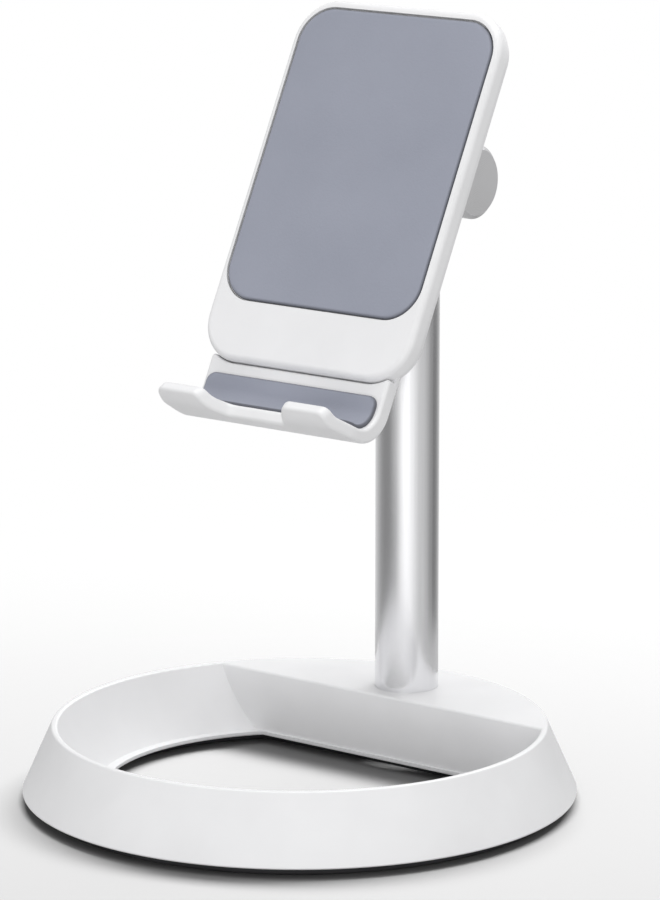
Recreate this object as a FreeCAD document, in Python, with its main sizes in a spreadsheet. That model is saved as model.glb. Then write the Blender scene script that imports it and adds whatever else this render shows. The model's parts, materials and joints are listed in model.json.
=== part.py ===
import FreeCAD, Part
import math
import os
import Sketcher
from FreeCAD import Placement, Rotation, Vector

# Phone stand, in millimetres. Z is up, the phone faces -Y, and X = 0 is the plane of symmetry.
# The weighted base, its pole and the pole head stand still. The cradle tilts on the pole head.
# Cradle pieces are drawn in the cradle's own frame: its origin is on the hinge axis, its Z runs
# up the phone and its Y points away from the phone.

SIZES = {
    # base shell: a ring with sloping walls and a deck across its back
    "foot_height": 2.0,
    "base_height": 14.7,
    "outer_bottom": 60.0,
    "outer_top": 53.45,
    "inner_bottom": 42.1,
    "bowl_radius": 40.0,
    "bowl_centre": 14.3,
    "bowl_level": 27.3,
    "lip_height": 0.9,
    "deck_draft": 0.5,
    "deck_rounding": 0.6,
    "rim_rounding": 0.5,
    "skirt_rounding": 0.3,
    "deck_front": 27.2,
    "deck_roof": 3.0,
    "deck_cavity": 49.6,
    "shell_wall": 2.4,
    "ring_cavity": 9.0,
    "cavity_foot": 46.6,
    "cavity_head": 51.2,
    # inside and under the base
    "cover_outer": 56.3,
    "cover_inner": 47.9,
    "cover_thickness": 2.0,
    "ballast_outer": 54.9,
    "ballast_inner": 49.6,
    "ballast_front": 31.0,
    "ballast_thickness": 3.2,
    "foot_outer": 57.0,
    "foot_inner": 45.6,
    "foot_rounding": 0.4,
    "screw_circle": 52.6,
    "screw_post": 2.2,
    "post_hole": 3.6,
    "merge": 0.7,
    "clear_margin": 1.0,
    # pole
    "pole_offset": 38.2,
    "pole_radius": 7.0,
    "pole_bore": 6.0,
    "pole_recess": 1.5,
    "pole_end_gap": 10.5,
    "boss_radius": 10.5,
    "boss_bottom": 8.0,
    "tube_rounding": 0.2,
    "plug_length": 16.0,
    "plug_rounding": 0.5,
    "spigot_length": 18.0,
    "fit_gap": 0.03,
    "lock_drop": 9.0,
    "lock_radius": 2.0,
    "lock_length": 5.0,
    "lock_socket": 1.15,
    "lock_socket_depth": 2.0,
    "lock_inset": 0.3,
    # tilt hinge
    "hinge_height": 131.2,
    "cradle_tilt": 27.64,
    "barrel_radius": 8.0,
    "barrel_half": 8.2,
    "barrel_rounding": 0.4,
    "side_gap": 0.05,
    "washer_thickness": 0.8,
    "washer_inset": 0.6,
    "ear_thickness": 6.0,
    "ear_recess": 3.5,
    "recess_radius": 5.5,
    "cap_thickness": 3.75,
    "cap_bevel": 0.9,
    "cap_collar": 1.8,
    "cap_cavity": 4.95,
    "hinge_bolt_radius": 2.5,
    "hinge_bolt_gap": 0.05,
    "spring_pack": 1.4,
    "spring_thickness": 0.42,
    "spring_dish": 0.245,
    "spring_bore_gap": 0.15,
    "spring_rim_gap": 0.7,
    # cradle, measured from the hinge axis
    "axis_to_pad": 18.15,
    "axis_to_pad_foot": 37.4,
    "pad_width": 51.6,
    "pad_length": 67.3,
    "pad_corner": 7.8,
    "pad_thickness": 1.2,
    "pad_proud": 0.2,
    "pad_margin": 0.35,
    "pad_rounding": 0.4,
    "plate_width": 55.2,
    "plate_top": 2.2,
    "plate_chin": 13.7,
    "plate_corner": 9.8,
    "plate_thickness": 3.4,
    "plate_rounding": 1.4,
    "plate_rim": 2.4,
    "plate_hollow": 1.4,
    "plate_screw_side": 20.0,
    "plate_screw_inset": 9.0,
    "plate_screw_wall": 0.8,
    "plate_screw_depth": 2.0,
    "back_inset": 0.9,
    "back_rounding": 1.1,
    "sheet": 2.8,
    "shelf_width": 48.0,
    "shelf_drop": 25.0,
    "shelf_root": 5.0,
    "shelf_forward": 2.3,
    "shelf_swell": 1.0,
    "nest_gap": 0.25,
    "cove_radius": 5.4,
    "hook_start": 9.8,
    "hook_radius": 5.6,
    "hook_angle": 42.0,
    "notch_depth": 7.5,
    "notch_foot": 7.4,
    "notch_mouth": 12.5,
    "tongue_outer": 21.9,
        "tongue_start": 5.2,
    "step_rounding": 12.0,
    "hook_rounding": 1.9,
    "shelf_rounding": 0.75,
    "shelf_reach": 17.0,
    "shelf_pad_top": 16.7,
    "shelf_pad_front": 6.3,
    "shelf_pad_width": 45.6,
    "shelf_pad_corner": 2.2,
    "shelf_pad_thickness": 0.9,
    "bracket_width": 20.0,
    "bracket_corner": 1.5,
    "bracket_base": 2.4,
    "bracket_screw_rise": 4.9,
    "bracket_thread": 4.6,
    # fasteners
    "m6_radius": 3.0,
    "m6_length": 20.0,
    "m6_head": 5.0,
    "m6_head_height": 4.0,
    "m6_socket": 2.9,
    "m6_socket_depth": 2.5,
    "m6_washer": 6.0,
    "m6_washer_thickness": 1.0,
    "m6_clearance": 3.2,
    "m5_head": 4.6,
    "m5_head_height": 2.7,
    "m5_head_bevel": 0.6,
    "m5_socket": 1.75,
    "m5_socket_depth": 1.8,
    "m5_nut_corner": 4.62,
    "m5_nut_height": 3.8,
    "m3_radius": 1.5,
    "m3_head": 2.75,
    "m3_head_height": 1.2,
    "m3_clearance": 1.7,
    "cover_screw_length": 8.0,
    "bracket_screw_length": 6.8,
    "m2_radius": 1.0,
    "m2_head": 1.9,
    "m2_head_height": 0.9,
    "m2_clearance": 1.2,
    "plate_screw_length": 4.4,
    "head_gap": 0.15,
    "thread_gap": 0.03,
}

SCREWS_AROUND = 6
# Cross recess of a screw head, as shares of the head's radius and height.
CROSS_LENGTH = 1.2
CROSS_WIDTH = 0.26
CROSS_DEPTH = 0.6
# Levels closer than this are the same.
LEVEL_TOLERANCE = 0.02
# Faces that meet at a smaller angle than this make no edge worth rounding, in degrees.
CREASE_ANGLE = 30


class Size:
    """A length and the spreadsheet expression that gives it."""

    def __init__(self, value, text):
        self.value = value
        self.text = text

    def __add__(self, other):
        other = sized(other)
        return Size(self.value + other.value, "(%s + %s)" % (self.text, other.text))

    def __sub__(self, other):
        other = sized(other)
        return Size(self.value - other.value, "(%s - %s)" % (self.text, other.text))

    def __mul__(self, other):
        other = sized(other)
        return Size(self.value * other.value, "(%s * %s)" % (self.text, other.text))

    def __truediv__(self, other):
        other = sized(other)
        return Size(self.value / other.value, "(%s / %s)" % (self.text, other.text))

    def __neg__(self):
        return Size(-self.value, "(-1 * %s)" % self.text)


def sized(number):
    return number if isinstance(number, Size) else Size(float(number), repr(float(number)))


def square_root(square):
    return Size(math.sqrt(square.value), "sqrt(%s)" % square.text)


def half_chord(radius, offset):
    """Half the chord that a line at this offset cuts from a circle."""
    return square_root(radius * radius - offset * offset)


def sine(angle):
    return Size(math.sin(math.radians(angle.value)), "sin(%s)" % angle.text)


def cosine(angle):
    return Size(math.cos(math.radians(angle.value)), "cos(%s)" % angle.text)


class Arc:
    """An arc between two corners of an outline; turn is 1 anticlockwise and -1 clockwise."""

    def __init__(self, centre_x, centre_y, radius, turn):
        self.centre = (centre_x, centre_y)
        self.radius = radius
        self.turn = turn


doc = FreeCAD.newDocument("phone_stand")
sheet = doc.addObject("Spreadsheet::Sheet", "Sizes")
for row, (alias, number) in enumerate(SIZES.items(), start=1):
    sheet.set("A%d" % row, alias)
    sheet.set("B%d" % row, str(number))
    sheet.setAlias("B%d" % row, alias)
doc.recompute()
size = {alias: Size(number, "Sizes." + alias) for alias, number in SIZES.items()}


# ---------------------------------------------------------------- sketches and features


def bind(item, path, value):
    item.setExpression(path, sized(value).text)


def new_body(label):
    body = doc.addObject("PartDesign::Body", label)
    body.Label = label
    return body


def sketch_on(body, role, offset=0):
    """A sketch on one of the body's own planes, moved along its normal by the offset."""
    sketch = body.newObject("Sketcher::SketchObject", body.Label + "_sketch")
    plane = next(item for item in body.Origin.OriginFeatures if item.Role == role)
    sketch.AttachmentSupport = (plane, [""])
    sketch.MapMode = "FlatFace"
    bind(sketch, "AttachmentOffset.Base.z", offset)
    return sketch


def constrain(sketch, kind, *where, value):
    """A constraint whose datum is bound to the sheet."""
    index = sketch.addConstraint(Sketcher.Constraint(kind, *where, value.value))
    sketch.setExpression("Constraints[%d]" % index, value.text)


def spot(point):
    return Vector(sized(point[0]).value, sized(point[1]).value, 0)


def hold(sketch, item, end, point, axes=(0, 1)):
    """Hold one end of a sketch item at a point given by two sizes; a plain 0 is on the axis."""
    for axis in axes:
        value = point[axis]
        if isinstance(value, Size):
            kind = ("DistanceX", "DistanceY")[axis]
            constrain(sketch, kind, -1, 1, item, end, value=value)
        else:
            line = (-2, -1)[axis]
            sketch.addConstraint(Sketcher.Constraint("PointOnObject", item, end, line))


def draw_circle(sketch, radius, centre=(0, 0)):
    item = sketch.addGeometry(Part.Circle(spot(centre), Vector(0, 0, 1), radius.value))
    constrain(sketch, "Radius", item, value=radius)
    hold(sketch, item, 3, centre)


def draw_loop(sketch, path):
    """A closed outline through the corners of path, with an arc wherever path holds an Arc."""
    corners = []
    arcs = {}
    for step in path:
        if isinstance(step, Arc):
            arcs[len(corners) - 1] = step
        else:
            corners.append(step)
    ends = []
    for number, corner in enumerate(corners):
        following = corners[(number + 1) % len(corners)]
        start = spot(corner)
        finish = spot(following)
        arc = arcs.get(number)
        if arc is None:
            item = sketch.addGeometry(Part.LineSegment(start, finish))
            ends.append((item, 1, 2))
            continue
        middle = spot(arc.centre)
        sweep = (start, finish) if arc.turn > 0 else (finish, start)
        angles = [math.atan2(point.y - middle.y, point.x - middle.x) for point in sweep]
        circle = Part.Circle(middle, Vector(0, 0, 1), arc.radius.value)
        item = sketch.addGeometry(Part.ArcOfCircle(circle, *angles))
        ends.append((item, 1, 2) if arc.turn > 0 else (item, 2, 1))
    for number, corner in enumerate(corners):
        item, head, tail = ends[number]
        following, next_head, next_tail = ends[(number + 1) % len(ends)]
        sketch.addConstraint(Sketcher.Constraint("Coincident", item, tail, following, next_head))
        hold(sketch, item, head, corner)
    for number, arc in arcs.items():
        chord = spot(corners[(number + 1) % len(corners)]) - spot(corners[number])
        across = 0 if abs(chord.y) >= abs(chord.x) else 1
        hold(sketch, ends[number][0], 3, arc.centre, (across,))


def rounded_rectangle(half_width, bottom, top, corner):
    """Outline symmetric about the sketch's Y axis, anticlockwise from the lower right."""
    inner = half_width - corner
    low = bottom + corner
    high = top - corner
    return [
        (inner, bottom),
        Arc(inner, low, corner, 1),
        (half_width, low),
        (half_width, high),
        Arc(inner, high, corner, 1),
        (inner, top),
        (-inner, top),
        Arc(-inner, high, corner, 1),
        (-half_width, high),
        (-half_width, low),
        Arc(-inner, low, corner, 1),
        (-inner, bottom),
    ]


def d_outline(radius, chord):
    """The part of a circle in front of a chord."""
    half = half_chord(radius, chord)
    return [(half, chord), Arc(0, 0, radius, -1), (-half, chord)]


def pad(sketch, length, symmetric=False):
    body = sketch.getParentGeoFeatureGroup()
    feature = body.newObject("PartDesign::Pad", body.Label + "_pad")
    feature.Profile = sketch
    feature.SideType = "Symmetric" if symmetric else "One side"
    bind(feature, "Length", length)
    body.Tip = feature
    return feature


def pocket(sketch, depth=None, reverse=False):
    """Cut against the sketch's normal, or both ways through everything without a depth."""
    body = sketch.getParentGeoFeatureGroup()
    feature = body.newObject("PartDesign::Pocket", body.Label + "_pocket")
    feature.Profile = sketch
    if depth is None:
        feature.SideType = "Symmetric"
        feature.Type = "ThroughAll"
    else:
        feature.Reversed = reverse
        bind(feature, "Length", depth)
    body.Tip = feature
    return feature


def turn(sketch, kind="PartDesign::Revolution"):
    """Revolve a sketch about its vertical axis, adding or, as a groove, cutting."""
    body = sketch.getParentGeoFeatureGroup()
    feature = body.newObject(kind, body.Label + "_turned")
    feature.Profile = sketch
    feature.ReferenceAxis = (sketch, ["V_Axis"])
    feature.Angle = 360
    body.Tip = feature
    return feature


def around(body, features, count):
    """Repeat features evenly about the body's Z axis."""
    pattern = body.newObject("PartDesign::PolarPattern", body.Label + "_around")
    pattern.Originals = features
    pattern.Axis = (next(item for item in body.Origin.OriginFeatures if item.Role == "Z_Axis"), [""])
    pattern.Angle = 360
    pattern.Occurrences = count
    body.Tip = pattern
    return pattern


def round_edges(body, radius, chosen):
    """Fillet the edges of the body's tip for which chosen(edge) is true."""
    doc.recompute()
    tip = body.Tip
    names = ["Edge%d" % n for n, edge in enumerate(tip.Shape.Edges, start=1) if chosen(edge)]
    feature = body.newObject("PartDesign::Fillet", body.Label + "_fillet")
    feature.Base = (tip, names)
    bind(feature, "Radius", radius)
    body.Tip = feature
    doc.recompute()
    return feature


def flat_at(edge, axis, level):
    """True where the whole edge lies at this level of one axis (0 X, 1 Y, 2 Z)."""
    box = edge.BoundBox
    low = (box.XMin, box.YMin, box.ZMin)[axis]
    high = (box.XMax, box.YMax, box.ZMax)[axis]
    return max(abs(low - level.value), abs(high - level.value)) < LEVEL_TOLERANCE


def place(item, point, rotation=Rotation()):
    item.Placement = Placement(Vector(0, 0, 0), rotation)
    for axis, value in zip("xyz", point):
        bind(item, "Placement.Base." + axis, value)


tilt = Rotation(Vector(-1, 0, 0), SIZES["cradle_tilt"])


def in_cradle(item):
    """Put a piece drawn in the cradle's frame where the tilted cradle is."""
    place(item, (0, size["pole_offset"], size["hinge_height"]), tilt)
    bind(item, "Placement.Rotation.Angle", size["cradle_tilt"])


def turned_body(label, profile):
    """A body of revolution about its own Z; profile holds (radius, height) corners."""
    body = new_body(label)
    sketch = sketch_on(body, "XZ_Plane")
    draw_loop(sketch, profile)
    turn(sketch)
    return body


def tube_profile(inner, outer, bottom, top):
    return [(inner, bottom), (outer, bottom), (outer, top), (inner, top)]


def hex_socket(body, corner, level, depth, reverse=False):
    """A hexagonal recess in a turned body, cut from this level."""
    sketch = sketch_on(body, "XY_Plane", level)
    half = corner / 2
    rise = corner * math.cos(math.pi / 6)
    draw_loop(
        sketch,
        [(corner, 0), (half, rise), (-half, rise), (-corner, 0), (-half, -rise), (half, -rise)],
    )
    return pocket(sketch, depth, reverse)


# ---------------------------------------------------------------- base

height = size["base_height"]
floor = size["foot_height"]
outward = (size["outer_bottom"] - size["outer_top"]) / height
pole_seat = (0, size["pole_offset"])
post_place = (size["screw_circle"], 0)
post_bottom = size["cover_thickness"] + size["ballast_thickness"]


def bowl_at(level):
    """Radius of the ring's rounded inner wall at a level of the shell."""
    return size["bowl_centre"] + half_chord(size["bowl_radius"], size["bowl_level"] - level)


def ring_profile():
    """Section of the ring: a straight outer slope, a rounded rim and a bowl-shaped inner wall."""
    lip = size["lip_height"]
    inner = size["inner_bottom"]
    rim = size["rim_rounding"]
    rim_level = height - rim
    slope = square_root(outward * outward + 1)
    outer_cut = rim * (slope - outward)
    outer_rim = size["outer_top"] - outer_cut
    bowl = size["bowl_radius"]
    centre = size["bowl_centre"]
    level = size["bowl_level"]
    inner_rim = centre + half_chord(bowl + rim, level - rim_level)
    share = bowl / (bowl + rim)
    return [
        (inner, 0),
        (size["outer_bottom"], 0),
        (size["outer_top"] + outer_cut * outward / slope, height - outer_cut / slope),
        Arc(outer_rim, rim_level, rim, 1),
        (outer_rim, height),
        (inner_rim, height),
        Arc(inner_rim, rim_level, rim, 1),
        (centre + (inner_rim - centre) * share, level + (rim_level - level) * share),
        Arc(centre, level, bowl, -1),
        (bowl_at(lip), lip),
        (inner, lip),
    ]


def make_base_shell():
    body = new_body("base_shell")
    deck_radius = (size["outer_top"] + bowl_at(height)) / 2
    front = size["deck_front"]
    wall_top = front + size["deck_draft"]
    for chord, top in ((front, size["lip_height"]), (wall_top, height)):
        sketch = sketch_on(body, "XY_Plane")
        half = half_chord(deck_radius, chord)
        draw_loop(sketch, [(half, chord), Arc(0, 0, deck_radius, 1), (-half, chord)])
        pad(sketch, top)

    def at_deck_edge(edge):
        return flat_at(edge, 1, wall_top) and flat_at(edge, 2, height)

    round_edges(body, size["deck_rounding"], at_deck_edge)
    sketch = sketch_on(body, "XZ_Plane")
    draw_loop(sketch, ring_profile())
    turn(sketch)
    round_edges(body, size["skirt_rounding"], lambda edge: flat_at(edge, 2, sized(0)))
    hollow_base_shell(body)
    place(body, (0, 0, floor))
    return body


def hollow_base_shell(body):
    wall = size["shell_wall"]
    ring = size["ring_cavity"]
    sketch = sketch_on(body, "XZ_Plane")
    outer = size["outer_bottom"] - wall
    draw_loop(
        sketch,
        [
            (size["cavity_foot"], 0),
            (outer, 0),
            (outer - outward * ring, ring),
            (size["cavity_head"], ring),
        ],
    )
    turn(sketch, "PartDesign::Groove")
    roof = height - size["deck_roof"]
    front = size["deck_front"] + wall
    half = half_chord(size["deck_cavity"], front)
    sketch = sketch_on(body, "XY_Plane")
    draw_loop(sketch, [(half, front), Arc(0, 0, size["deck_cavity"], 1), (-half, front)])
    pocket(sketch, roof, reverse=True)
    sketch = sketch_on(body, "XY_Plane", size["boss_bottom"])
    draw_circle(sketch, size["boss_radius"], pole_seat)
    pad(sketch, roof - size["boss_bottom"] + size["merge"])
    sketch = sketch_on(body, "XY_Plane", post_bottom)
    draw_circle(sketch, size["screw_post"], post_place)
    post = pad(sketch, ring - post_bottom + size["merge"])
    around(body, [post], SCREWS_AROUND)
    sketch = sketch_on(body, "XY_Plane", post_bottom)
    draw_circle(sketch, size["m3_radius"] + size["thread_gap"], post_place)
    screw_hole = pocket(sketch, size["post_hole"], reverse=True)
    around(body, [screw_hole], SCREWS_AROUND)
    sketch = sketch_on(body, "XY_Plane", height)
    draw_circle(sketch, size["pole_radius"] + size["fit_gap"], pole_seat)
    pocket(sketch, size["pole_recess"])
    sketch = sketch_on(body, "XY_Plane", height)
    draw_circle(sketch, size["m6_clearance"], pole_seat)
    pocket(sketch, height)


def make_ring_plate(label, outer, inner, chord, thickness, bottom):
    """A flat disc with a D-shaped opening like the base's own."""
    body = new_body(label)
    sketch = sketch_on(body, "XY_Plane")
    draw_circle(sketch, outer)
    draw_loop(sketch, d_outline(inner, chord))
    pad(sketch, thickness)
    place(body, (0, 0, bottom))
    return body


def drill_around(body, radius, level, depth, reverse=False):
    sketch = sketch_on(body, "XY_Plane", level)
    draw_circle(sketch, radius, post_place)
    around(body, [pocket(sketch, depth, reverse)], SCREWS_AROUND)


def make_bottom_cover():
    chord = size["deck_front"] + size["shell_wall"] + size["head_gap"]
    body = make_ring_plate(
        "base_bottom_cover",
        size["cover_outer"],
        size["cover_inner"],
        chord,
        size["cover_thickness"],
        floor,
    )
    drill_around(body, size["m3_clearance"], 0, size["cover_thickness"], reverse=True)
    head_depth = size["m3_head_height"] + size["head_gap"]
    drill_around(body, size["m3_head"] + size["head_gap"], 0, head_depth, reverse=True)
    return body


def make_ballast():
    body = make_ring_plate(
        "ballast_plate",
        size["ballast_outer"],
        size["ballast_inner"],
        size["ballast_front"],
        size["ballast_thickness"],
        floor + size["cover_thickness"],
    )
    drill_around(body, size["m3_clearance"], 0, size["ballast_thickness"], reverse=True)
    sketch = sketch_on(body, "XY_Plane")
    draw_circle(sketch, size["m6_washer"] + size["clear_margin"], pole_seat)
    pocket(sketch, size["ballast_thickness"], reverse=True)
    return body


def make_foot_ring():
    chord = size["deck_front"] + size["shell_wall"] + size["clear_margin"]
    body = make_ring_plate(
        "anti_slip_ring", size["foot_outer"], size["foot_inner"], chord, floor, 0
    )
    round_edges(body, size["foot_rounding"], lambda edge: flat_at(edge, 2, sized(0)))
    return body


# ---------------------------------------------------------------- fasteners


def make_screw(label, radius, head, head_height, length, point, rotation):
    """One cross-recess screw, head at its origin and point along its Z."""
    head_shape = doc.addObject("Part::Cylinder", label + "_head")
    bind(head_shape, "Radius", head)
    bind(head_shape, "Height", head_height)
    shank = doc.addObject("Part::Cylinder", label + "_shank")
    bind(shank, "Radius", radius)
    bind(shank, "Height", length)
    solid = doc.addObject("Part::Fuse", label + "_solid")
    solid.Base = head_shape
    solid.Tool = shank
    slots = []
    for angle in (0, 90):
        slot = doc.addObject("Part::Box", label + "_slot")
        bind(slot, "Length", head * CROSS_LENGTH)
        bind(slot, "Width", head * CROSS_WIDTH)
        bind(slot, "Height", head_height * CROSS_DEPTH)
        quarter_turn = Rotation(Vector(0, 0, 1), angle)
        corner = Vector(-CROSS_LENGTH / 2 * head.value, -CROSS_WIDTH / 2 * head.value, 0)
        slot.Placement = Placement(quarter_turn.multVec(corner), quarter_turn)
        slots.append(slot)
    cross = doc.addObject("Part::Fuse", label + "_cross")
    cross.Base, cross.Tool = slots
    screw = doc.addObject("Part::Cut", label)
    screw.Base = solid
    screw.Tool = cross
    place(screw, point, rotation)
    return screw


def make_screw_group(label, kind, length, points, rotation):
    """Identical screws as one node; kind is the thread's name in the sheet."""
    screws = [
        make_screw(
            "%s_%d" % (label, number),
            size[kind + "_radius"],
            size[kind + "_head"],
            size[kind + "_head_height"],
            length,
            point,
            rotation,
        )
        for number, point in enumerate(points, start=1)
    ]
    group = doc.addObject("Part::Compound", label)
    group.Label = label
    group.Links = screws
    return group


def make_cover_screws():
    points = []
    for step in range(SCREWS_AROUND):
        angle = math.radians(360 * step / SCREWS_AROUND)
        x = size["screw_circle"] * round(math.cos(angle), 6)
        y = size["screw_circle"] * round(math.sin(angle), 6)
        points.append((x, y, floor + size["head_gap"]))
    length = size["cover_screw_length"]
    return make_screw_group("cover_screws", "m3", length, points, Rotation())


# ---------------------------------------------------------------- pole

deck_top = floor + height
pole_bottom = deck_top - size["pole_recess"]
pole_top = size["hinge_height"] - size["pole_end_gap"]
boss_face = floor + size["boss_bottom"]
lock_height = pole_top - size["lock_drop"]


def stand_on_pole(item, z, rotation=Rotation()):
    place(item, (0, size["pole_offset"], z), rotation)


def make_pole_tube():
    length = pole_top - pole_bottom
    body = turned_body(
        "pole_tube", tube_profile(size["pole_bore"], size["pole_radius"], 0, length)
    )
    round_edges(body, size["tube_rounding"], lambda edge: flat_at(edge, 2, length))
    sketch = sketch_on(body, "XZ_Plane")
    lock_hole = (0, length - size["lock_drop"])
    draw_circle(sketch, size["lock_radius"] + size["hinge_bolt_gap"], lock_hole)
    pocket(sketch, size["pole_radius"] + size["clear_margin"])
    stand_on_pole(body, pole_bottom)
    return body


def make_pole_plug():
    gap = size["fit_gap"]
    body = turned_body(
        "pole_bottom_plug",
        tube_profile(
            size["m6_radius"] + size["thread_gap"],
            size["pole_bore"] - gap,
            0,
            size["plug_length"],
        ),
    )
    top = size["plug_length"]
    round_edges(body, size["plug_rounding"], lambda edge: flat_at(edge, 2, top))
    stand_on_pole(body, pole_bottom)
    return body


def make_pole_bolt():
    head = size["m6_head"]
    head_height = size["m6_head_height"]
    tip = head_height + size["m6_length"]
    body = turned_body(
        "pole_bolt",
        [
            (0, 0),
            (head, 0),
            (head, head_height),
            (size["m6_radius"], head_height),
            (size["m6_radius"], tip),
            (0, tip),
        ],
    )
    hex_socket(body, size["m6_socket"], 0, size["m6_socket_depth"], reverse=True)
    stand_on_pole(body, boss_face - size["m6_washer_thickness"] - head_height)
    return body


def make_pole_washer():
    body = turned_body(
        "pole_bolt_washer",
        tube_profile(size["m6_clearance"], size["m6_washer"], 0, size["m6_washer_thickness"]),
    )
    stand_on_pole(body, boss_face - size["m6_washer_thickness"])
    return body


def make_pole_head():
    """T-shaped head: a spigot in the tube, a short neck and the hinge barrel across it."""
    body = new_body("pole_head")
    spigot = size["pole_bore"] - size["fit_gap"]
    neck_foot = -size["pole_end_gap"]
    sketch = sketch_on(body, "XZ_Plane")
    draw_loop(
        sketch,
        [
            (0, neck_foot - size["spigot_length"]),
            (spigot, neck_foot - size["spigot_length"]),
            (spigot, neck_foot),
            (size["pole_radius"], neck_foot),
            (size["pole_radius"], -size["pole_bore"] / 2),
            (0, -size["pole_bore"] / 2),
        ],
    )
    turn(sketch)
    sketch = sketch_on(body, "YZ_Plane")
    draw_circle(sketch, size["barrel_radius"])
    pad(sketch, size["barrel_half"] * 2, symmetric=True)
    end = size["barrel_half"]
    round_edges(
        body,
        size["barrel_rounding"],
        lambda edge: flat_at(edge, 0, end) or flat_at(edge, 0, -end),
    )
    sketch = sketch_on(body, "YZ_Plane")
    draw_circle(sketch, size["hinge_bolt_radius"] + size["hinge_bolt_gap"])
    pocket(sketch)
    sketch = sketch_on(body, "XZ_Plane")
    draw_circle(
        sketch, size["lock_radius"] + size["thread_gap"], (0, neck_foot - size["lock_drop"])
    )
    pocket(sketch, size["pole_radius"] + size["clear_margin"])
    stand_on_pole(body, size["hinge_height"])
    return body


def make_lock_screw():
    length = size["lock_length"]
    body = turned_body(
        "head_lock_screw",
        [(0, 0), (size["lock_radius"], 0), (size["lock_radius"], length), (0, length)],
    )
    hex_socket(body, size["lock_socket"], length, size["lock_socket_depth"])
    tip = size["pole_offset"] + size["pole_radius"] - size["lock_inset"] - length
    place(body, (0, tip, lock_height), Rotation(Vector(1, 0, 0), -90))
    return body


# ---------------------------------------------------------------- hinge

ear_inside = size["barrel_half"] + size["side_gap"] + size["washer_thickness"]
ear_outside = ear_inside + size["ear_thickness"]
recess_floor = ear_outside - size["ear_recess"]
pad_face = -size["axis_to_pad"]
plate_front = pad_face + size["pad_proud"]
plate_back = plate_front + size["plate_thickness"]
sheet_back = plate_back + size["sheet"]
bracket_back = sheet_back + size["bracket_base"]
bracket_screw_x = (ear_inside + ear_outside) / 2
bracket_screw_places = [
    (bracket_screw_x * x, size["bracket_screw_rise"] * z) for x in (-1, 1) for z in (-1, 1)
]


def lie_on_axis(item, x, right=True):
    """Lay a turned piece along the hinge axis, its Z pointing to the right or the left."""
    direction = Rotation(Vector(0, 1, 0), 90 if right else -90)
    place(item, (x, size["pole_offset"], size["hinge_height"]), tilt.multiply(direction))


def make_hinge_bracket():
    body = new_body("hinge_bracket")
    sketch = sketch_on(body, "XZ_Plane", -bracket_back)
    half_height = size["bracket_width"] / 2
    corner = size["bracket_corner"]
    draw_loop(sketch, rounded_rectangle(ear_outside, -half_height, half_height, corner))
    pad(sketch, size["bracket_base"])
    radius = size["barrel_radius"]
    root = bracket_back - size["merge"]
    ear = [(root, -radius), (0, -radius), Arc(0, 0, radius, 1), (0, radius), (root, radius)]
    for side in (ear_inside, -ear_outside):
        sketch = sketch_on(body, "YZ_Plane", side)
        draw_loop(sketch, ear)
        pad(sketch, size["ear_thickness"])
    sketch = sketch_on(body, "YZ_Plane")
    draw_circle(sketch, size["hinge_bolt_radius"] + size["hinge_bolt_gap"])
    pocket(sketch)
    for side, reverse in ((ear_outside, False), (-ear_outside, True)):
        sketch = sketch_on(body, "YZ_Plane", side)
        draw_circle(sketch, size["recess_radius"])
        pocket(sketch, size["ear_recess"], reverse)
    sketch = sketch_on(body, "XZ_Plane", -sheet_back)
    for screw_place in bracket_screw_places:
        draw_circle(sketch, size["m3_radius"] + size["thread_gap"], screw_place)
    pocket(sketch, size["bracket_thread"])
    in_cradle(body)
    return body


def make_hinge_bolt():
    head_face = recess_floor + size["spring_pack"]
    head_height = size["m5_head_height"]
    reach = head_face + recess_floor + size["m5_nut_height"]
    radius = size["hinge_bolt_radius"]
    body = turned_body(
        "hinge_bolt",
        [
            (0, -reach),
            (radius, -reach),
            (radius, 0),
            (size["m5_head"], 0),
            (size["m5_head"] - size["m5_head_bevel"], head_height),
            (0, head_height),
        ],
    )
    hex_socket(body, size["m5_socket"], head_height, size["m5_socket_depth"])
    lie_on_axis(body, head_face)
    return body


def make_hinge_nut():
    body = new_body("hinge_nut")
    corner = size["m5_nut_corner"]
    half = corner / 2
    rise = corner * math.cos(math.pi / 6)
    sketch = sketch_on(body, "XY_Plane")
    draw_loop(
        sketch,
        [(corner, 0), (half, rise), (-half, rise), (-corner, 0), (-half, -rise), (half, -rise)],
    )
    draw_circle(sketch, size["hinge_bolt_radius"] + size["thread_gap"])
    pad(sketch, size["m5_nut_height"])
    lie_on_axis(body, -recess_floor, right=False)
    return body


def make_friction_washer(label, right):
    body = turned_body(
        label,
        tube_profile(
            size["hinge_bolt_radius"] + size["hinge_bolt_gap"],
            size["barrel_radius"] - size["washer_inset"],
            0,
            size["washer_thickness"],
        ),
    )
    start = size["barrel_half"] + size["side_gap"]
    lie_on_axis(body, start if right else -start, right)
    return body


def make_disc_springs():
    """Two cupped washers, rim to rim at the outside of the pack, that carry the bolt's pull."""
    inner = size["hinge_bolt_radius"] + size["spring_bore_gap"]
    outer = size["recess_radius"] - size["spring_rim_gap"]
    thick = size["spring_thickness"]
    dish = size["spring_dish"]
    pack = size["spring_pack"]
    near = [(inner, dish), (outer, 0), (outer, thick), (inner, dish + thick)]
    far = [
        (inner, pack - dish - thick),
        (outer, pack - thick),
        (outer, pack),
        (inner, pack - dish),
    ]
    body = new_body("disc_springs")
    for profile in (near, far):
        sketch = sketch_on(body, "XZ_Plane")
        draw_loop(sketch, profile)
        turn(sketch)
    lie_on_axis(body, recess_floor)
    return body


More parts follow.
